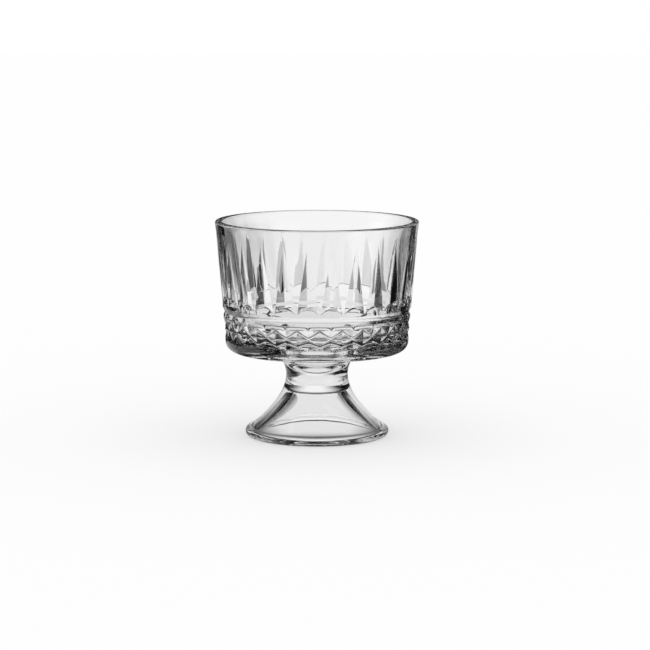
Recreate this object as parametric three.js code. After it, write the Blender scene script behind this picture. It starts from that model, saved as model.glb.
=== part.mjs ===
import * as THREE from "three";

// A pressed glass dessert cup in millimetres, +Z up, standing on the table plane z = 0.
// Three glass pieces are welded on flat faces: a hollow flared foot, a solid stem and a cut-pattern bowl.

// Foot: a flared shell that is open underneath and has a rounded rim.
const FOOT_DIAMETER = 67;
const FOOT_HEIGHT = 24.6;
const FOOT_RIM_THICKNESS = 4.5;
const FLARE_POWER = 1.8;
const BASE_RING_WIDTH = 1.75;
const CROWN_THICKNESS = 4.2;
const HOLLOW_DIAMETER = 22;
const HOLLOW_POWER = 1.35;

// Stem: the short solid waist between the foot's hollow and the bowl's well.
const STEM_HEIGHT = 4.3;
const WAIST_DIAMETER = 28.9;
const WAIST_RISE = 4.1;

// Bowl, from its weld face upwards: neck, boss, underside, rounded corner and plain base.
const NECK_HEIGHT = 8.1;
const NECK_DIAMETER = 34.6;
const NECK_POWER = 2;
const BOSS_HEIGHT = 1.5;
const BOSS_FILLET = 3.2;
const UNDERSIDE_RISE = 1.4;
const CORNER_RADIUS = 5;
const BASE_DIAMETER = 85.6;
const PLAIN_BASE = 1.7;

// Band of diamonds, each a low pyramid between crossing grooves.
const BAND_HEIGHT = 8.7;
const BAND_DIAMETER = 87.2;
const BAND_EDGE = 0.4;
const DIAMOND_DEPTH = 1.0;

// Plain bead, the notch above it and the collar that the flutes end on.
const BEAD_HEIGHT = 1.8;
const BEAD_SLOPE = 1.6;
const NOTCH_DEPTH = 0.65;
const COLLAR_SLOPE = 2.4;
const COLLAR_FACE = 1.2;
const COLLAR_DIAMETER = 88.1;

// Flutes: pointed grooves that deepen downwards and end in an arched step above the collar.
const FLUTE_COUNT = 26;
const FLUTE_HEIGHT = 33.7;
const FLUTE_DEPTH = 1.4;
const FLUTE_TIP = 0.7;
const LAND_TIP = 0.6;
const LAND_LIFT = 0.3;
const ARCH_HEIGHT = 3.1;
const ARCH_STEP = 0.45;
const FIRST_LAND = THREE.MathUtils.degToRad(1.65);

// Lip, fully rounded rim and smooth inside of the bowl. Its floor slopes down to a deep dimple in the neck.
const LIP_DIAMETER = 93.8;
const LIP_HEIGHT = 3.25;
const RIM_DIAMETER = 95;
const RIM_WALL = 3.5;
const WELL_DIAMETER = 77.4;
const WELL_CORNER = 8;
const FLOOR_THICKNESS = 7.5;
const FLOOR_DROP = 4.5;
const DIMPLE_RADIUS = 12.5;
const DIMPLE_LIP = 3;
const DIMPLE_MOUTH = THREE.MathUtils.degToRad(20);
const DIMPLE_BASE = 1.3;

// Facets: columns around one flute, around the plain pieces, and steps along a curve.
const FLUTE_COLUMNS = 4;
const PLAIN_COLUMNS = 52;
const CURVE_STEPS = 4;
const RIM_STEPS = 6;
const FLARE_STEPS = 8;

// Heights above the table.
const rimCentreLevel = FOOT_RIM_THICKNESS / 2;
const creaseLevel = FOOT_RIM_THICKNESS;
const waistLevel = FOOT_HEIGHT + WAIST_RISE;
const seatLevel = FOOT_HEIGHT + STEM_HEIGHT;
const neckLevel = seatLevel + NECK_HEIGHT;

// Heights inside the bowl, above its weld face.
const bossTop = NECK_HEIGHT + BOSS_HEIGHT;
const undersideEdge = bossTop + UNDERSIDE_RISE;
const cornerTop = undersideEdge + CORNER_RADIUS;
const bandBottom = cornerTop + PLAIN_BASE;
const bandTop = bandBottom + BAND_HEIGHT;
const beadTop = bandTop + BEAD_HEIGHT;
const notchLevel = beadTop + BEAD_SLOPE;
const collarLevel = notchLevel + COLLAR_SLOPE;
const ledgeLevel = collarLevel + COLLAR_FACE;
const fluteTop = ledgeLevel + FLUTE_HEIGHT;
const rimLevel = fluteTop + LIP_HEIGHT;
const floorLevel = bossTop + FLOOR_THICKNESS;

// Angle from one flute to the next.
const pitch = (2 * Math.PI) / FLUTE_COUNT;

const glass = { color: 0xf4f6f6, roughness: 0.02, metalness: 0 };

// Points of an arc in the half plane of radius and height, from one angle to another.
function arc(radius, height, size, from, to, steps) {
  const points = [];
  for (let step = 0; step <= steps; step++) {
    const angle = THREE.MathUtils.lerp(from, to, step / steps);
    points.push(new THREE.Vector2(radius + size * Math.cos(angle), height + size * Math.sin(angle)));
  }
  return points;
}

// Outer radius of foot, stem and the bowl's neck at a height: a flare below the waist and a neck above it.
function outline(height) {
  const waist = WAIST_DIAMETER / 2;
  if (height < waistLevel) {
    const flare = FOOT_DIAMETER / 2 - rimCentreLevel - waist;
    return waist + flare * ((waistLevel - height) / (waistLevel - creaseLevel)) ** FLARE_POWER;
  }
  const neck = NECK_DIAMETER / 2 - waist;
  return waist + neck * ((height - waistLevel) / (neckLevel - waistLevel)) ** NECK_POWER;
}

// Points on the outline between two heights.
function outlinePoints(from, to, steps) {
  const points = [];
  for (let step = 0; step <= steps; step++) {
    const height = THREE.MathUtils.lerp(from, to, step / steps);
    points.push(new THREE.Vector2(outline(height), height));
  }
  return points;
}

// Points of the foot's hollow, which widens from its flat ceiling to its mouth in the table plane.
function hollowPoints(ceiling, mouth) {
  const points = [];
  for (let step = 0; step <= FLARE_STEPS; step++) {
    const share = step / FLARE_STEPS;
    const radius = THREE.MathUtils.lerp(HOLLOW_DIAMETER / 2, mouth, share ** HOLLOW_POWER);
    points.push(new THREE.Vector2(radius, ceiling * (1 - share)));
  }
  return points;
}

function lathe(profile) {
  return new THREE.LatheGeometry(profile, PLAIN_COLUMNS).rotateX(Math.PI / 2);
}

function footGeometry() {
  const ceiling = FOOT_HEIGHT - CROWN_THICKNESS;
  const rimRadius = FOOT_DIAMETER / 2 - rimCentreLevel;
  return lathe([
    new THREE.Vector2(0, ceiling),
    ...hollowPoints(ceiling, rimRadius - BASE_RING_WIDTH),
    ...arc(rimRadius, rimCentreLevel, rimCentreLevel, -Math.PI / 2, Math.PI / 2, RIM_STEPS),
    ...outlinePoints(creaseLevel, FOOT_HEIGHT, FLARE_STEPS).slice(1),
    new THREE.Vector2(0, FOOT_HEIGHT),
  ]);
}

function stemGeometry() {
  const side = outlinePoints(FOOT_HEIGHT, seatLevel, FLARE_STEPS);
  return lathe([new THREE.Vector2(0, FOOT_HEIGHT), ...side, new THREE.Vector2(0, seatLevel)]);
}

// A ring of points round the bowl. The shape gives radius, height and turn of each column of a flute,
// where column 0 is the middle of a land and half the columns on is the middle of a flute.
function ring(shape) {
  const points = [];
  for (let flute = 0; flute < FLUTE_COUNT; flute++) {
    for (let column = 0; column < FLUTE_COLUMNS; column++) {
      const { radius, height, turn = column / FLUTE_COLUMNS } = shape(column);
      const angle = FIRST_LAND + (flute + turn) * pitch;
      points.push(new THREE.Vector3(radius * Math.sin(angle), -radius * Math.cos(angle), height));
    }
  }
  return points;
}

function plainRing(point) {
  return ring(() => ({ radius: point.x, height: point.y }));
}

// One row across lands and flutes: the width of a flute, and the points in its middle and on the land.
// Column 0 lies on the land, and the others run across the flute from side -1 to side 1.
function fluteRing(width, middle, land) {
  const half = width / (2 * land.x * pitch);
  return ring((column) => {
    if (column === 0) {
      return { radius: land.x, height: land.y };
    }
    const side = (2 * (column - 1)) / (FLUTE_COLUMNS - 2) - 1;
    const point = middle.clone().lerp(land, Math.abs(side));
    return { radius: point.x, height: point.y, turn: 1 / 2 + half * side };
  });
}

// One row of the diamond band: peaks and grooves alternate like a checkerboard, with slopes between them.
function diamondRing(row) {
  const middle = FLUTE_COLUMNS / 2;
  const share = row / FLUTE_COLUMNS;
  const height = THREE.MathUtils.lerp(bandBottom, bandTop, share);
  const peak = THREE.MathUtils.lerp(BASE_DIAMETER, BAND_DIAMETER, share) / 2;
  return ring((column) => {
    const away = Math.min(column, FLUTE_COLUMNS - column) + Math.abs(row - middle);
    const groove = 1 - Math.abs(1 - away / middle);
    return { radius: peak - DIAMOND_DEPTH * groove, height };
  });
}

function bowlRings() {
  const boss = NECK_DIAMETER / 2;
  const wall = BASE_DIAMETER / 2;
  const band = BAND_DIAMETER / 2;
  const collar = COLLAR_DIAMETER / 2;
  const crest = (RIM_DIAMETER - RIM_WALL) / 2;
  const well = WELL_DIAMETER / 2;
  const lip = LIP_DIAMETER / 2;
  const neckSlope = (NECK_POWER * (boss - WAIST_DIAMETER / 2)) / (neckLevel - waistLevel);
  const underside = Math.atan2(UNDERSIDE_RISE, wall - CORNER_RADIUS - boss - BOSS_FILLET);
  const fluteWidth = pitch * collar - LAND_TIP;
  const archShare = ARCH_HEIGHT / FLUTE_HEIGHT;
  const archRadius = THREE.MathUtils.lerp(collar, lip, archShare) - FLUTE_DEPTH * (1 - archShare);
  const neckTop = new THREE.Vector2(boss, NECK_HEIGHT);
  const filletCorner = new THREE.Vector2(boss + neckSlope * BOSS_HEIGHT, bossTop);
  const filletEnd = new THREE.Vector2(boss + BOSS_FILLET, bossTop);
  const neck = outlinePoints(seatLevel, neckLevel, CURVE_STEPS);
  const base = [
    ...neck.slice(0, -1).map((point) => new THREE.Vector2(point.x, point.y - seatLevel)),
    ...new THREE.QuadraticBezierCurve(neckTop, filletCorner, filletEnd).getPoints(CURVE_STEPS),
    ...arc(wall - CORNER_RADIUS, cornerTop, CORNER_RADIUS, underside - Math.PI / 2, 0, CURVE_STEPS),
    new THREE.Vector2(wall, bandBottom - BAND_EDGE),
  ];
  const neckline = [
    new THREE.Vector2(band, bandTop + BAND_EDGE),
    new THREE.Vector2(band, beadTop),
    new THREE.Vector2(band - NOTCH_DEPTH, notchLevel),
    new THREE.Vector2(collar, collarLevel),
  ];
  const ledge = new THREE.Vector2(collar, ledgeLevel);
  const landFoot = new THREE.Vector2(collar, ledgeLevel + LAND_LIFT);
  const archTop = new THREE.Vector2(archRadius, ledgeLevel + ARCH_HEIGHT);
  const sillShare = 1 - ARCH_STEP / ARCH_HEIGHT;
  const landSill = ledge.clone().lerp(landFoot, sillShare);
  const archSill = new THREE.Vector2(collar, archTop.y - ARCH_STEP);
  const fluteEnd = new THREE.Vector2(lip, fluteTop);
  const dimpleCentre = DIMPLE_BASE + DIMPLE_RADIUS;
  const dimple = arc(0, dimpleCentre, DIMPLE_RADIUS, -DIMPLE_MOUTH, -Math.PI / 2, CURVE_STEPS);
  const mouth = new THREE.Vector2(DIMPLE_RADIUS, floorLevel - FLOOR_DROP);
  const floorEdge = new THREE.Vector2(well - WELL_CORNER, floorLevel);
  const dimpleLip = mouth.clone().lerp(floorEdge, DIMPLE_LIP / mouth.distanceTo(floorEdge));
  const inside = [
    ...arc(crest, rimLevel, RIM_WALL / 2, 0, Math.PI, RIM_STEPS),
    ...arc(floorEdge.x, floorLevel + WELL_CORNER, WELL_CORNER, 0, -Math.PI / 2, CURVE_STEPS),
    ...new THREE.QuadraticBezierCurve(dimpleLip, mouth, dimple[0]).getPoints(CURVE_STEPS),
    ...dimple.slice(1, -1),
  ];
  return [
    ...base.map(plainRing),
    ...Array.from({ length: FLUTE_COLUMNS + 1 }, (_, row) => diamondRing(row)),
    ...neckline.map(plainRing),
    fluteRing(fluteWidth, ledge, ledge),
    fluteRing(fluteWidth, archSill, landSill),
    fluteRing(fluteWidth, archTop, landFoot),
    fluteRing(FLUTE_TIP, fluteEnd, fluteEnd),
    ...inside.map(plainRing),
  ];
}

// Joins the rings with triangles and closes both ends on the axis, at the two given levels. Each
// four-sided patch is split along its deeper diagonal, so that grooves stay sharp.
function ringSolid(rings, startLevel, endLevel) {
  const columns = rings[0].length;
  const points = rings.flat();
  const depth = (a, b) => Math.hypot(points[a].x, points[a].y) + Math.hypot(points[b].x, points[b].y);
  const faces = [];
  for (let row = 0; row + 1 < rings.length; row++) {
    for (let column = 0; column < columns; column++) {
      const next = (column + 1) % columns;
      const a = row * columns + column;
      const b = row * columns + next;
      const c = a + columns;
      const d = b + columns;
      faces.push(...(depth(a, d) < depth(b, c) ? [a, b, d, a, d, c] : [a, b, c, b, d, c]));
    }
  }
  const top = (rings.length - 1) * columns;
  const start = points.push(new THREE.Vector3(0, 0, startLevel)) - 1;
  const end = points.push(new THREE.Vector3(0, 0, endLevel)) - 1;
  for (let column = 0; column < columns; column++) {
    const next = (column + 1) % columns;
    faces.push(start, next, column, end, top + column, top + next);
  }
  const geometry = new THREE.BufferGeometry().setFromPoints(points).setIndex(faces);
  geometry.computeVertexNormals();
  return geometry;
}

function piece(name, geometry, level = 0) {
  const mesh = new THREE.Mesh(geometry, new THREE.MeshStandardMaterial(glass));
  mesh.name = name;
  mesh.position.z = level;
  return mesh;
}

const cup = new THREE.Group();
cup.add(piece("foot", footGeometry()));
cup.add(piece("stem", stemGeometry()));
cup.add(piece("bowl", ringSolid(bowlRings(), 0, DIMPLE_BASE), seatLevel));

export default cup;
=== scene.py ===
"""Looks of a pressed glass dessert cup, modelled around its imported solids.

Lengths are millimetres in the part's own frame, +Z up, and the meshes are made in metres.
A profile is an array of points of radius and height. A row is one ring of points: their radii, their
heights and their turns, where a turn of 1 goes once round the cup, or once across a flute.
"""

import math

import bpy
import numpy as np
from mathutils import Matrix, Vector, noise


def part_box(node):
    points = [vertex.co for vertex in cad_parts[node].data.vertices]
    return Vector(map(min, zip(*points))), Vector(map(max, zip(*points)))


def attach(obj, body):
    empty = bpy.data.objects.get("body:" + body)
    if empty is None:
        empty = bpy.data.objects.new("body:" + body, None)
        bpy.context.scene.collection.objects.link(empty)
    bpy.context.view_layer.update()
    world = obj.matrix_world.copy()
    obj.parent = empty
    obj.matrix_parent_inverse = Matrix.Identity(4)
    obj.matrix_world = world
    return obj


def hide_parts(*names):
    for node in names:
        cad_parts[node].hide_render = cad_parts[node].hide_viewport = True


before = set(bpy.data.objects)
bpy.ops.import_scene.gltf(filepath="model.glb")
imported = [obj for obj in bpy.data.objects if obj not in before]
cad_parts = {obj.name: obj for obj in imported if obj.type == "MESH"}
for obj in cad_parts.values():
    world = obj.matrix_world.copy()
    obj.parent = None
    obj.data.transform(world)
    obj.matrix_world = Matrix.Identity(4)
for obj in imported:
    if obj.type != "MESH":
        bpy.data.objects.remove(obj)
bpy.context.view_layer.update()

MM = 0.001

# Levels and radii that the solids give.
FOOT_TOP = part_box("stem")[0].z / MM
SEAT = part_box("stem")[1].z / MM
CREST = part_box("bowl")[1].z / MM
FOOT_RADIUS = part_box("foot")[1].x / MM

# Foot: flared shell with a rounded rim, open underneath.
BEAD_RADIUS = 2.25
FLARE_POWER = 1.8
BASE_RING_WIDTH = 1.75
CEILING = 20.4
HOLLOW_RADIUS = 11
HOLLOW_POWER = 1.35
HOLLOW_EDGE = 0.5

# Pressing mark: a wavering crease round the back of the foot's hollow, which drops at a kink. Each of its
# waves has a count round the foot, a share of the waver and a phase. The crease grows towards the back by its
# spread, less what makes it end at the sides.
CREASE_LEVEL = 3.4
CREASE_HALF = 0.7
CREASE_DEPTH = 2
CREASE_WAVER = 0.2
CREASE_WAVES = ((7, 1, 1), (13, 0.6, 2.5))
CREASE_SPREAD = 1.6
CREASE_ENDS = 0.2
KINK_DROP = 0.6
KINK_ANGLE = math.pi + 0.42
KINK_WIDTH = 0.03

# Waist and neck between foot and bowl.
WAIST = 28.7
WAIST_RADIUS = 14.45
NECK_TOP = 37
NECK_RADIUS = 17.3
NECK_POWER = 2

# Underside and rounded corner of the bowl.
BOSS_TOP = 38.5
BOSS_FILLET = 3.2
CORNER_RADIUS = 5
CORNER_LEVEL = 44.9
BASE_RADIUS = 42.8

# Band of diamonds with flat-bottomed grooves between them. The edges of the grooves fall on the steps.
BAND_BOTTOM = 46.6
BAND_TOP = 55.3
BAND_RADIUS = 43.6
BAND_EDGE = 0.3
DIAMOND_DEPTH = 1.0
GROOVE_SHARE = 0.12
DIAMOND_STEPS = np.concatenate([[0], 0.5 + GROOVE_SHARE * np.arange(-4, 5), [1]])

# Bead, notch and collar.
BEAD_TOP = 57.1
NOTCH = 58.7
NOTCH_RADIUS = 42.95
COLLAR = 61.1
COLLAR_RADIUS = 44.05
LEDGE = 62.3

# Pointed flutes that widen and deepen downwards and end in an arched step.
FLUTES = 26
FIRST_LAND = math.radians(1.65)
FLUTE_TOP = 94
FLUTE_DEPTH = 1.4
DEPTH_POWER = 1.3
TIP_HALF = 0.05
STRIP_HALF = 0.4
LAND_HALF = 0.3
LAND_LIFT = 0.3
FLUTE_EDGE = 0.12
ARCH_HEIGHT = 3.1
ARCH_LEVEL = 68.5
SILL_SHARE = 0.85

# Lip, flat-topped rim with round edges and the smooth inside of the bowl.
LIP_LEVEL = 96
LIP_RADIUS = 46.9
RIM_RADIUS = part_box("bowl")[1].x / MM
RIM_WALL = 3.5
RIM_EDGE = 0.9
WELL_RADIUS = 38.7
WELL_CORNER = 8
FLOOR = 46
FLOOR_DROP = 4.5
DIMPLE_FLOOR = 30.2
DIMPLE_RADIUS = 12.5
DIMPLE_LIP = 3
DIMPLE_ARC = (-20, -88)

# Unevenness of the pressed inside: its height, and its size across and along the wall.
WAVE = 0.1
WAVE_ACROSS = 5
WAVE_ALONG = 70

# Short rounds at the corners of the profiles.
SOFT = 0.2
BASE_SOFT = 0.4
COLLAR_SOFT = 0.12
LIP_SOFT = 0.8

# Steps along each stretch of the foot's profile and the stem's.
CEILING_STEPS = 6
HOLLOW_STEPS = 44
BASE_RING_STEPS = 3
BEAD_STEPS = 20
FLARE_STEPS = 36
STEM_STEPS = 30

# Steps along each stretch of the bowl's profile, up the outside and down the inside.
NECK_STEPS = 10
FILLET_STEPS = 8
UNDERSIDE_STEPS = 3
CORNER_STEPS = 12
BASE_STEPS = 2
LIP_STEPS = 2
RIM_STEPS = 8
WALL_STEPS = 14
DISH_STEPS = 6
DIMPLE_LIP_STEPS = 8
DIMPLE_STEPS = 18

# Steps across half a flute and up it, and how far up the rows lie on its sill, on its step and over its arch.
FACET_STEPS = 2
LAND_STEPS = 3
FLUTE_STEPS = 13
SILL_RISES = (0, 0.3, 0.6, 0.9, 1)
STEP_RISES = (0.1, 0.3, 0.5, 0.7, 0.9)
ARCH_RISES = (0, 0.03, 0.15, 0.4, 0.7, 1)

# Columns of the bowl's mesh for each flute: half of them are FACET_STEPS + LAND_STEPS + 5, and half of them
# are one less than the diamond's steps. The lip's columns space out evenly over the first few rows.
COLUMNS = 20
TURN_ROWS = 8

# Columns of the plain pieces, the gap that each piece keeps to its weld plane, and the ceiling's inmost ring.
PLAIN_COLUMNS = 312
WELD_GAP = 0.01
POLE_RADIUS = 0.4


def run(start, end, steps):
    """Points on a straight stretch of a profile."""
    return np.linspace(start, end, steps + 1)


def arc(centre, radius, start, end, steps):
    """Points on an arc of a profile, from one angle to another in degrees."""
    angles = np.radians(np.linspace(start, end, steps + 1))
    return np.array(centre) + radius * np.stack([np.cos(angles), np.sin(angles)], 1)


def bend(start, corner, end, steps):
    """Points on a curve that leaves start towards a corner and reaches end from it."""
    t = np.linspace(0, 1, steps + 1)[:, None]
    return (1 - t) ** 2 * start + 2 * t * (1 - t) * corner + t ** 2 * end


def towards(corner, point, size):
    """The point that lies size from a corner on the way to another point, or halfway if that is nearer."""
    step = point - corner
    return corner + step * min(0.5, size / np.linalg.norm(step))


def joined(*runs, soft=SOFT):
    """One profile from several runs, with a short round at each corner between two of them."""
    chain = [runs[0][:-1]]
    for before, after in zip(runs, runs[1:]):
        corner = before[-1]
        back = towards(corner, before[-2], soft)
        ahead = towards(corner, after[1], soft)
        chain += [[back, (back + 2 * corner + ahead) / 4, ahead], after[1:-1]]
    chain.append(runs[-1][-1:])
    return np.vstack([part for part in chain if len(part)])


def plain_rows(profile, columns):
    """Rows of a turned shape: the same radius and height at evenly spaced turns."""
    turns = np.arange(columns) / columns
    return [(np.full(columns, r), np.full(columns, z), turns) for r, z in profile]


def outline(height):
    """Outer radius of foot, stem and neck at a height."""
    rim = FOOT_RADIUS - BEAD_RADIUS
    flare = np.clip((WAIST - height) / (WAIST - 2 * BEAD_RADIUS), 0, None) ** FLARE_POWER
    neck = np.clip((height - WAIST) / (NECK_TOP - WAIST), 0, None) ** NECK_POWER
    return WAIST_RADIUS + (rim - WAIST_RADIUS) * flare + (NECK_RADIUS - WAIST_RADIUS) * neck


def outline_run(start, end, steps):
    """Points on the outline between two heights."""
    heights = np.linspace(start, end, steps + 1)
    return np.stack([outline(heights), heights], 1)


def hollow_run(mouth, steps):
    """Points of the foot's hollow, from its ceiling to its mouth in the table plane."""
    share = np.linspace(0, 1, steps + 1)
    radii = HOLLOW_RADIUS + (mouth - HOLLOW_RADIUS) * share ** HOLLOW_POWER
    return np.stack([radii, CEILING * (1 - share)], 1)


def marked(row):
    """A row of the foot's hollow with its share of the pressing mark."""
    radius, height, turn = row
    angle = 2 * math.pi * turn
    level = CREASE_LEVEL - KINK_DROP * (1 + np.tanh((angle - KINK_ANGLE) / KINK_WIDTH)) / 2
    for count, share, phase in CREASE_WAVES:
        level = level + CREASE_WAVER * share * np.sin(count * angle + phase)
    back = np.clip(-CREASE_SPREAD * np.cos(angle) - CREASE_ENDS, 0, 1)
    away = (height - level) / CREASE_HALF
    return radius + back * CREASE_DEPTH * np.exp(-away ** 2), height, turn


def foot_rows():
    rim = FOOT_RADIUS - BEAD_RADIUS
    mouth = rim - BASE_RING_WIDTH
    hollow = joined(
        run((POLE_RADIUS, CEILING), (HOLLOW_RADIUS, CEILING), CEILING_STEPS),
        hollow_run(mouth, HOLLOW_STEPS),
        run((mouth, 0), (rim, 0), BASE_RING_STEPS),
        soft=HOLLOW_EDGE,
    )
    outside = joined(
        arc((rim, BEAD_RADIUS), BEAD_RADIUS, -90, 90, BEAD_STEPS),
        outline_run(2 * BEAD_RADIUS, FOOT_TOP - WELD_GAP, FLARE_STEPS),
    )
    rows = [marked(row) for row in plain_rows(hollow[:-1], PLAIN_COLUMNS)]
    return rows + plain_rows(outside, PLAIN_COLUMNS)


def stem_rows():
    waist = outline_run(FOOT_TOP + WELD_GAP, SEAT - WELD_GAP, STEM_STEPS)
    return plain_rows(waist, PLAIN_COLUMNS)


def base_profile():
    """The bowl from its weld face to the band: neck, fillet, underside and rounded corner."""
    slope = NECK_POWER * (NECK_RADIUS - WAIST_RADIUS) / (NECK_TOP - WAIST)
    neck = outline_run(SEAT + WELD_GAP, NECK_TOP, NECK_STEPS)
    knee = np.array([NECK_RADIUS + slope * (BOSS_TOP - NECK_TOP), BOSS_TOP])
    boss = np.array([NECK_RADIUS + BOSS_FILLET, BOSS_TOP])
    centre = (BASE_RADIUS - CORNER_RADIUS, CORNER_LEVEL)
    tilt = math.degrees(math.atan2(CORNER_LEVEL - CORNER_RADIUS - BOSS_TOP, centre[0] - boss[0]))
    corner = arc(centre, CORNER_RADIUS, tilt - 90, 0, CORNER_STEPS)
    return joined(
        np.vstack([neck, bend(neck[-1], knee, boss, FILLET_STEPS)[1:]]),
        run(boss, corner[0], UNDERSIDE_STEPS),
        corner,
        run(corner[-1], (BASE_RADIUS, BAND_BOTTOM - BAND_EDGE), BASE_STEPS),
        soft=BASE_SOFT,
    )


def diamond_row(share, across):
    """One row of the diamond band: low pyramids between crossing grooves with flat bottoms."""
    away = np.abs(across) + abs(share)
    rise = np.clip(np.abs(1 - away) - GROOVE_SHARE, 0, None) / (1 - GROOVE_SHARE)
    up = (share + 1) / 2
    peak = BASE_RADIUS + (BAND_RADIUS - BASE_RADIUS) * up
    height = BAND_BOTTOM + (BAND_TOP - BAND_BOTTOM) * up
    turns = np.where(across < 0, 1 + across / 2, across / 2)
    return peak - DIAMOND_DEPTH * (1 - rise), np.full(len(across), height), turns


def diamond_rows():
    across = np.concatenate([DIAMOND_STEPS, -DIAMOND_STEPS[-2:0:-1]])
    shares = np.concatenate([-DIAMOND_STEPS[::-1], DIAMOND_STEPS[1:]])
    return [diamond_row(share, across) for share in shares]


def collar_profile():
    """Bead, notch and collar between the diamonds and the flutes."""
    corners = [(BAND_RADIUS, BAND_TOP + BAND_EDGE), (BAND_RADIUS, BEAD_TOP), (NOTCH_RADIUS, NOTCH),
               (COLLAR_RADIUS, COLLAR), (COLLAR_RADIUS, LEDGE)]
    sides = [run(start, end, 1) for start, end in zip(corners, corners[1:])]
    return joined(*sides, soft=COLLAR_SOFT)


def cone(height):
    """Radius of the lands between the flutes."""
    return COLLAR_RADIUS + (LIP_RADIUS - COLLAR_RADIUS) * (height - LEDGE) / (LIP_LEVEL - LEDGE)


def flute_section(height):
    """Half the pitch, half the width, half the bottom strip and the depth of a flute at a height."""
    share = max(0, (FLUTE_TOP - height) / (FLUTE_TOP - LEDGE))
    half_pitch = math.pi * cone(height) / FLUTES
    half = max((half_pitch - LAND_HALF) * share, TIP_HALF)
    return half_pitch, half, min(STRIP_HALF, half / 2), FLUTE_DEPTH * share ** DEPTH_POWER


def column_offsets(height):
    """Distances of half a flute's columns from its middle: on the strip, the facet, the edge and the land.

    The edge narrows with the flute near its tip, and with the land near the ledge.
    """
    half_pitch, half, strip, _ = flute_section(height)
    edge = min(FLUTE_EDGE, half / 5, (half_pitch - half) / 3)
    facet = run(strip + edge, half - edge, FACET_STEPS)
    land = run(half + edge, half_pitch, LAND_STEPS)
    return np.concatenate([[0, strip / 2, strip], facet, [half], land])


def groove(heights):
    """Offsets and radii of half a flute's columns, each at a height of its own."""
    offsets = np.array([column_offsets(height)[column] for column, height in enumerate(heights)])
    radii = []
    for offset, height in zip(offsets, heights):
        _, half, strip, depth = flute_section(height)
        radii.append(cone(height) - depth * min(1, max(0, (half - offset) / (half - strip))))
    return offsets, np.array(radii)


def mirrored(offsets, radii, heights):
    """A row from land to land, made from the half on one side of a flute."""
    turns = offsets * FLUTES / (2 * math.pi * cone(heights))
    both = [np.concatenate([sign * half[:0:-1], half[:-1]])
            for half, sign in ((radii, 1), (heights, 1), (turns, -1))]
    return both[0], both[1], both[2] + 0.5


def fluted_rows():
    """Rows of the fluted wall: the sill, its arched step, then rows that level out above the arches."""
    foot = column_offsets(LEDGE)
    collar = np.full(len(foot), COLLAR_RADIUS)
    _, half, _, _ = flute_section(LEDGE)
    bow = np.clip(1 - (foot / half) ** 2, 0, None)
    arch = LEDGE + LAND_LIFT + (ARCH_HEIGHT - LAND_LIFT) * bow
    sill = LEDGE + (arch - LEDGE) * SILL_SHARE
    arch_offsets, arch_radii = groove(arch)
    rows = []
    for rise in SILL_RISES:
        rows.append(mirrored(foot, collar, LEDGE + (sill - LEDGE) * rise))
    for rise in STEP_RISES:
        offsets = foot + (arch_offsets - foot) * rise
        rows.append(mirrored(offsets, collar + (arch_radii - collar) * rise, sill + (arch - sill) * rise))
    for rise in ARCH_RISES:
        heights = arch + (ARCH_LEVEL - arch) * rise
        rows.append(mirrored(*groove(heights), heights))
    for height in np.linspace(ARCH_LEVEL, FLUTE_TOP, FLUTE_STEPS + 1)[1:]:
        heights = np.full(len(foot), height)
        rows.append(mirrored(*groove(heights), heights))
    return rows


def lip_profile():
    """The lip above the flutes and the rim, down to the top of the inner wall."""
    top = CREST - RIM_EDGE
    outer = arc((RIM_RADIUS - RIM_EDGE, top), RIM_EDGE, 0, 90, RIM_STEPS)
    inner = arc((RIM_RADIUS - RIM_WALL + RIM_EDGE, top), RIM_EDGE, 90, 180, RIM_STEPS)
    lip = (LIP_RADIUS, LIP_LEVEL)
    below = run((cone(FLUTE_TOP), FLUTE_TOP), lip, LIP_STEPS)
    shoulder = joined(below, run(lip, outer[0], LIP_STEPS), soft=LIP_SOFT)
    return joined(shoulder, np.vstack([outer, inner]))


def well_profile(top):
    """The inside of the bowl from the top of its wall: wall, rounded corner, sloped floor and dimple."""
    corner = arc((WELL_RADIUS - WELL_CORNER, FLOOR + WELL_CORNER), WELL_CORNER, 0, -90, CORNER_STEPS)
    dimple = arc((0, DIMPLE_FLOOR + DIMPLE_RADIUS), DIMPLE_RADIUS, *DIMPLE_ARC, DIMPLE_STEPS)
    mouth = np.array([DIMPLE_RADIUS, FLOOR - FLOOR_DROP])
    edge = towards(mouth, corner[-1], DIMPLE_LIP)
    lip = bend(edge, mouth, dimple[0], DIMPLE_LIP_STEPS)
    dish = np.vstack([run(corner[-1], edge, DISH_STEPS), lip[1:], dimple[1:]])
    return joined(run(top, corner[0], WALL_STEPS), corner, dish)


def repeated(row):
    """A row of one flute, repeated round the bowl."""
    radius, height, turn = row
    turns = (np.arange(FLUTES)[:, None] + turn[None, :]).ravel() / FLUTES
    return np.tile(radius, FLUTES), np.tile(height, FLUTES), turns


def eased(rows, turns, shares):
    """Rows whose columns stand partly at other turns, by one share for each row."""
    return [(radius, height, turn + (turns - turn) * share)
            for (radius, height, turn), share in zip(rows, shares)]


def waved(row):
    """A row of the inside with the slight unevenness of pressed glass."""
    radius, height, turn = row
    angle = 2 * math.pi * turn
    across = radius / WAVE_ACROSS
    spots = np.stack([across * np.cos(angle), across * np.sin(angle), height / WAVE_ALONG], 1)
    waves = np.array([noise.noise(Vector(spot)) for spot in spots])
    return radius + WAVE * waves, height, turn


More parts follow.
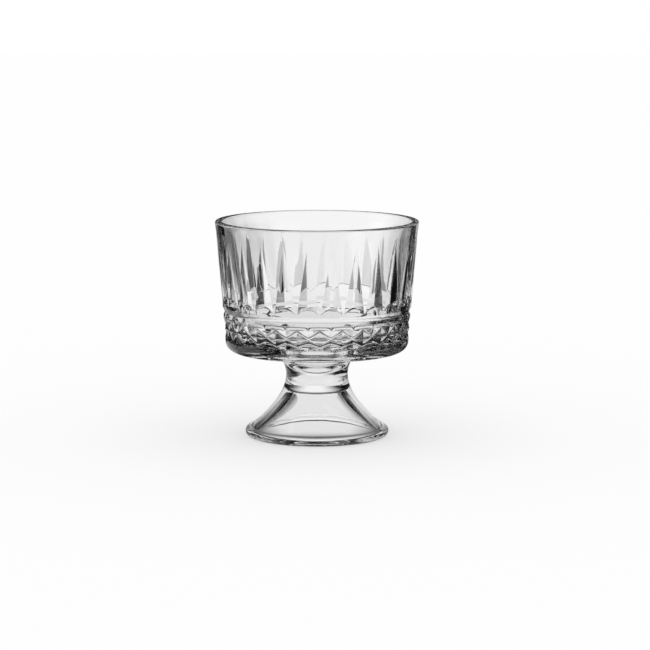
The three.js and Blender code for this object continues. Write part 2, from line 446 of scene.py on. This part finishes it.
def bowl_rows():
    flutes = fluted_rows()
    collar = plain_rows(collar_profile(), COLUMNS)
    lip = lip_profile()
    lips = plain_rows(lip[1:], COLUMNS)
    inside = plain_rows(well_profile(lip[-1])[1:], COLUMNS)
    rows = plain_rows(base_profile(), COLUMNS) + diamond_rows()
    rows += eased(collar, flutes[0][2], np.linspace(0, 1, len(collar)))[:-1] + flutes
    rows += eased(lips, flutes[-1][2], np.clip(1 - np.arange(len(lips)) / TURN_ROWS, 0, 1))
    inner = [repeated(row) for row in inside]
    return [repeated(row) for row in rows] + [waved(row) for row in inner[:-1]] + inner[-1:]


def ring_mesh(name, rows, start, welds):
    """A closed mesh from rows of points, with both ends closed on the axis.

    Turns are measured from the angle start. Each four-sided patch is split along its deeper diagonal.
    The weld faces are marked, so that the glass runs on through them.
    """
    count = len(rows[0][0])
    radius, height, turn = (np.array([row[part] for row in rows]) for part in range(3))
    angle = start + 2 * math.pi * turn
    points = np.stack([radius * np.sin(angle), -radius * np.cos(angle), height], 2)
    index = np.arange(len(rows) * count).reshape(len(rows), count)
    a, b = index[:-1], np.roll(index, -1, 1)[:-1]
    c, d = index[1:], np.roll(index, -1, 1)[1:]
    flat = radius.ravel()
    deep = (flat[a] + flat[d] < flat[b] + flat[c])[..., None]
    first = np.where(deep, np.stack([a, b, d], 2), np.stack([a, b, c], 2))
    second = np.where(deep, np.stack([a, d, c], 2), np.stack([b, d, c], 2))
    walls = np.concatenate([first.reshape(-1, 3), second.reshape(-1, 3)])
    low, high = len(flat), len(flat) + 1
    bottom = np.stack([np.full(count, low), np.roll(index[0], -1), index[0]], 1)
    top = np.stack([np.full(count, high), index[-1], np.roll(index[-1], -1)], 1)
    poles = [[0, 0, rows[0][1][0]], [0, 0, rows[-1][1][0]]]
    faces = np.concatenate([walls, bottom, top])
    mesh = bpy.data.meshes.new(name)
    mesh.from_pydata(np.concatenate([points.reshape(-1, 3), poles]) * MM, [], faces.tolist())
    ends = {"bottom": (slice(len(walls), len(walls) + count), index[0]),
            "top": (slice(len(walls) + count, None), index[-1])}
    weld = np.zeros(len(faces), np.float32)
    sharp = set()
    for end in welds:
        fan, ring = ends[end]
        weld[fan] = 1
        sharp |= {frozenset(pair) for pair in zip(ring.tolist(), np.roll(ring, -1).tolist())}
    mesh.attributes.new("weld", "FLOAT", "FACE").data.foreach_set("value", weld)
    mesh.polygons.foreach_set("use_smooth", np.ones(len(faces), bool))
    for line in mesh.edges:
        line.use_edge_sharp = frozenset(line.vertices) in sharp
    mesh.update()
    piece = bpy.data.objects.new(name, mesh)
    bpy.context.scene.collection.objects.link(piece)
    return piece


def node(tree, kind, **inputs):
    """A shader node with its inputs linked or set. An input named v and a number is taken by its place."""
    made = tree.nodes.new(kind)
    for name, value in inputs.items():
        socket = made.inputs[int(name[1:])] if name[1:].isdigit() else made.inputs[name.replace("_", " ")]
        if isinstance(value, bpy.types.NodeSocket):
            tree.links.new(value, socket)
        else:
            socket.default_value = value
    return made


def maths(tree, operation, *values):
    """A math node's result."""
    made = node(tree, "ShaderNodeMath", **{f"v{i}": value for i, value in enumerate(values)})
    made.operation = operation
    return made.outputs[0]


def fade(tree, value, start, end, low, high):
    """A smooth change from low at start to high at end."""
    made = node(tree, "ShaderNodeMapRange", Value=value,
                From_Min=start, From_Max=end, To_Min=low, To_Max=high)
    made.interpolation_type = "SMOOTHSTEP"
    return made.outputs["Result"]


def place(tree):
    """The X, Y and Z of the shaded point."""
    position = node(tree, "ShaderNodeNewGeometry").outputs["Position"]
    return node(tree, "ShaderNodeSeparateXYZ", Vector=position).outputs


def glass_ray(tree):
    """1 for a ray that comes from the glass, and 0 for the camera's and diffuse rays."""
    path = node(tree, "ShaderNodeLightPath").outputs
    return maths(tree, "MAXIMUM", path["Is Glossy Ray"], path["Is Transmission Ray"])


# Clear glass: its refractive index, its faint grey in thick places and the skin that pressing leaves. Haze
# is a slight roughness where its noise is in this range or above. Noise scales and the grey are per metre.
GLASS_INDEX = 1.52
AIR_INDEX = 1
GLASS_DENSITY = 1
SKIN_SCALE = 90
SKIN_BUMP = 0.04
HAZE_SCALE = 260
HAZE_RANGE = (0.5, 0.9)
HAZE = 0.02


def glass():
    """Fire-polished glass. Its weld faces don't bend light, so the three pieces look like one."""
    material = bpy.data.materials.new("clear_glass")
    material.use_nodes = True
    tree = material.node_tree
    shader = tree.nodes["Principled BSDF"]
    shader.inputs["Base Color"].default_value = (1, 1, 1, 1)
    shader.inputs["IOR"].default_value = GLASS_INDEX
    shader.inputs["Transmission Weight"].default_value = 1
    weld = node(tree, "ShaderNodeAttribute")
    weld.attribute_name = "weld"
    index = node(tree, "ShaderNodeMapRange", Value=weld.outputs["Fac"], To_Min=GLASS_INDEX, To_Max=AIR_INDEX)
    tree.links.new(index.outputs["Result"], shader.inputs["IOR"])
    spot = node(tree, "ShaderNodeNewGeometry").outputs["Position"]
    haze = node(tree, "ShaderNodeTexNoise", Vector=spot, Scale=HAZE_SCALE).outputs["Fac"]
    tree.links.new(fade(tree, haze, *HAZE_RANGE, 0, HAZE), shader.inputs["Roughness"])
    skin = node(tree, "ShaderNodeTexNoise", Vector=spot, Scale=SKIN_SCALE).outputs["Fac"]
    bumped = node(tree, "ShaderNodeBump", Height=skin, Distance=SKIN_BUMP * MM)
    tree.links.new(bumped.outputs["Normal"], shader.inputs["Normal"])
    absorb = node(tree, "ShaderNodeVolumeAbsorption", Color=(0, 0, 0, 1), Density=GLASS_DENSITY)
    tree.links.new(absorb.outputs["Volume"], tree.nodes["Material Output"].inputs["Volume"])
    return material


def dress():
    """The three glass pieces, each in the place of its solid."""
    material = glass()
    foot = ring_mesh("glass_foot", foot_rows(), 0, ["top"])
    stem = ring_mesh("glass_stem", stem_rows(), 0, ["bottom", "top"])
    bowl = ring_mesh("glass_bowl", bowl_rows(), FIRST_LAND, ["bottom"])
    for piece, solid in ((foot, "foot"), (stem, "stem"), (bowl, "bowl")):
        piece.data.materials.append(material)
        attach(piece, "root")
        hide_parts(solid)


# Light tent round the cup, which only the glass shows: white panels between dark sides. A panel is white up
# to one angle from its middle and fades out at another, and it fades upwards between two heights. Low down
# it is narrower. Turns are degrees clockwise from +Y, seen from above.
TENT_RADIUS = 300
TENT_HEIGHT = 700
TENT_STEPS = 180
TENT_DARK = 0.005
PANELS = (
    dict(turn=3, full=7, none=42, level=1, top=(95, 120)),
    dict(turn=-45, full=10, none=26, level=0.7, top=(10, 25)),
    dict(turn=-90, full=6, none=26, level=0.9, top=(110, 140)),
    dict(turn=135, full=6, none=26, level=0.9, top=(95, 130)),
)
PANEL_NARROW = 1.4
NARROW_LEVELS = (55, 80)

# Floor, whose glow the glass shows: bright wedges that widen away from the cup, each with soft edges. A wedge
# rises from its front level to its full one between two distances. The veil is the camera's share of white.
FLOOR_HALF = 4000
FLOOR_COLOUR = (0.98, 0.98, 0.98, 1)
FLOOR_ROUGHNESS = 0.9
FLOOR_DARK = 0.02
WEDGES = (
    dict(turn=0, edge=(12, 35), slope=0.3, level=0.85, start=(-30, 0), front=0.1),
    dict(turn=-45, edge=(20, 45), slope=0.25, level=0.75, start=(70, 100), front=0),
    dict(turn=-90, edge=(15, 40), slope=0.25, level=0.7, start=(80, 120), front=0),
    dict(turn=135, edge=(20, 45), slope=0.25, level=0.75, start=(100, 140), front=0),
)
VEIL = 0.5


def stage_piece(name, points, faces):
    """A stage object with a material of its own, and that material's nodes."""
    mesh = bpy.data.meshes.new(name)
    mesh.from_pydata(points, [], faces)
    thing = bpy.data.objects.new(name, mesh)
    bpy.context.scene.collection.objects.link(thing)
    material = bpy.data.materials.new(name)
    material.use_nodes = True
    mesh.materials.append(material)
    return thing, material.node_tree


def show(tree, shader):
    tree.links.new(shader.outputs[0], tree.nodes["Material Output"].inputs["Surface"])


def scaled(limits):
    """Limits in millimetres as metres."""
    return [limit * MM for limit in limits]


def tent():
    steps = np.arange(TENT_STEPS)
    angles = steps * 2 * math.pi / TENT_STEPS
    ring = TENT_RADIUS * MM * np.stack([np.cos(angles), np.sin(angles), 0 * angles], 1)
    after = (steps + 1) % TENT_STEPS
    faces = np.stack([steps, after, after + TENT_STEPS, steps + TENT_STEPS], 1)
    wall, tree = stage_piece("tent", np.concatenate([ring, ring + [0, 0, TENT_HEIGHT * MM]]), faces.tolist())
    spot = place(tree)
    azimuth = maths(tree, "ARCTAN2", spot["X"], spot["Y"])
    narrow = fade(tree, spot["Z"], *scaled(NARROW_LEVELS), PANEL_NARROW, 1)
    level = TENT_DARK
    for panel in PANELS:
        offset = maths(tree, "SUBTRACT", azimuth, math.radians(panel["turn"]))
        offset = maths(tree, "ABSOLUTE", maths(tree, "WRAP", offset, math.pi, -math.pi))
        offset = maths(tree, "MULTIPLY", offset, narrow)
        side = fade(tree, offset, math.radians(panel["full"]), math.radians(panel["none"]), panel["level"], 0)
        low = fade(tree, spot["Z"], *scaled(panel["top"]), 1, 0)
        level = maths(tree, "MAXIMUM", level, maths(tree, "MULTIPLY", side, low))
    show(tree, node(tree, "ShaderNodeEmission", Strength=level))
    wall.visible_camera = False
    wall.visible_diffuse = False
    wall.visible_shadow = False


def turned(tree, spot, turn):
    """How far a spot on the floor lies along a direction, and across it."""
    sine, cosine = math.sin(math.radians(turn)), math.cos(math.radians(turn))
    along = maths(tree, "MULTIPLY_ADD", spot["X"], sine, maths(tree, "MULTIPLY", spot["Y"], cosine))
    across = maths(tree, "MULTIPLY_ADD", spot["X"], cosine, maths(tree, "MULTIPLY", spot["Y"], -sine))
    return along, across


def floor():
    half = FLOOR_HALF * MM
    corners = [(-half, -half, 0), (half, -half, 0), (half, half, 0), (-half, half, 0)]
    _, tree = stage_piece("floor", corners, [(0, 1, 2, 3)])
    pale = tree.nodes["Principled BSDF"]
    pale.inputs["Base Color"].default_value = FLOOR_COLOUR
    pale.inputs["Roughness"].default_value = FLOOR_ROUGHNESS
    pale.inputs["Specular IOR Level"].default_value = 0
    spot = place(tree)
    level = FLOOR_DARK
    for wedge in WEDGES:
        along, across = turned(tree, spot, wedge["turn"])
        spread = maths(tree, "MULTIPLY", maths(tree, "MAXIMUM", along, 0), wedge["slope"])
        beside = maths(tree, "SUBTRACT", maths(tree, "ABSOLUTE", across), spread)
        side = fade(tree, beside, *scaled(wedge["edge"]), wedge["level"], 0)
        share = fade(tree, along, *scaled(wedge["start"]), wedge["front"], 1)
        level = maths(tree, "MAXIMUM", level, maths(tree, "MULTIPLY", side, share))
    glow = node(tree, "ShaderNodeEmission", Strength=level)
    white = node(tree, "ShaderNodeEmission", Strength=1)
    seen = node(tree, "ShaderNodeLightPath").outputs["Is Camera Ray"]
    veil = maths(tree, "MULTIPLY", seen, VEIL)
    plain = node(tree, "ShaderNodeMixShader", v0=veil, v1=pale.outputs[0], v2=white.outputs[0])
    show(tree, node(tree, "ShaderNodeMixShader", v0=glass_ray(tree), v1=plain.outputs[0], v2=glow.outputs[0]))


def sky():
    """White for the camera and the floor, and dark for the glass, which the tent lights."""
    world = bpy.data.worlds.new("studio")
    bpy.context.scene.world = world
    world.use_nodes = True
    tree = world.node_tree
    background = tree.nodes["Background"]
    background.inputs["Color"].default_value = (1, 1, 1, 1)
    tree.links.new(maths(tree, "SUBTRACT", 1, glass_ray(tree)), background.inputs["Strength"])


# Camera, placed from the picture: the cup's axis and base at these pixels, at this scale.
PICTURE = 650
AXIS_X = 317
BASE_Y = 434
PIXELS_PER_MM = 2.14
CAMERA_DISTANCE = 1250
CAMERA_HEIGHT = 233.5
SENSOR = 36


def camera():
    data = bpy.data.cameras.new("camera")
    eye = bpy.data.objects.new("camera", data)
    bpy.context.scene.collection.objects.link(eye)
    drop = CAMERA_HEIGHT - CREST / 2
    tilt = math.atan2(drop, CAMERA_DISTANCE)
    reach = math.hypot(CAMERA_DISTANCE, drop)
    eye.location = (0, -CAMERA_DISTANCE * MM, CAMERA_HEIGHT * MM)
    eye.rotation_euler = (math.pi / 2 - tilt, 0, 0)
    data.sensor_width = SENSOR
    data.lens = SENSOR * reach * PIXELS_PER_MM / PICTURE
    ahead = CAMERA_DISTANCE * math.cos(tilt) + CAMERA_HEIGHT * math.sin(tilt)
    below = CAMERA_HEIGHT * math.cos(tilt) - CAMERA_DISTANCE * math.sin(tilt)
    base_y = PICTURE / 2 + reach * PIXELS_PER_MM * below / ahead
    data.shift_x = (PICTURE / 2 - AXIS_X) / PICTURE
    data.shift_y = (BASE_Y - base_y) / PICTURE
    bpy.context.scene.camera = eye


# Bounces, enough for light to pass through both walls of the cup.
BOUNCES = 24
GLOSSY_BOUNCES = 16


def settings():
    scene = bpy.context.scene
    scene.view_settings.view_transform = "Standard"
    scene.cycles.max_bounces = BOUNCES
    scene.cycles.transmission_bounces = BOUNCES
    scene.cycles.glossy_bounces = GLOSSY_BOUNCES


dress()
tent()
floor()
sky()
camera()
settings()
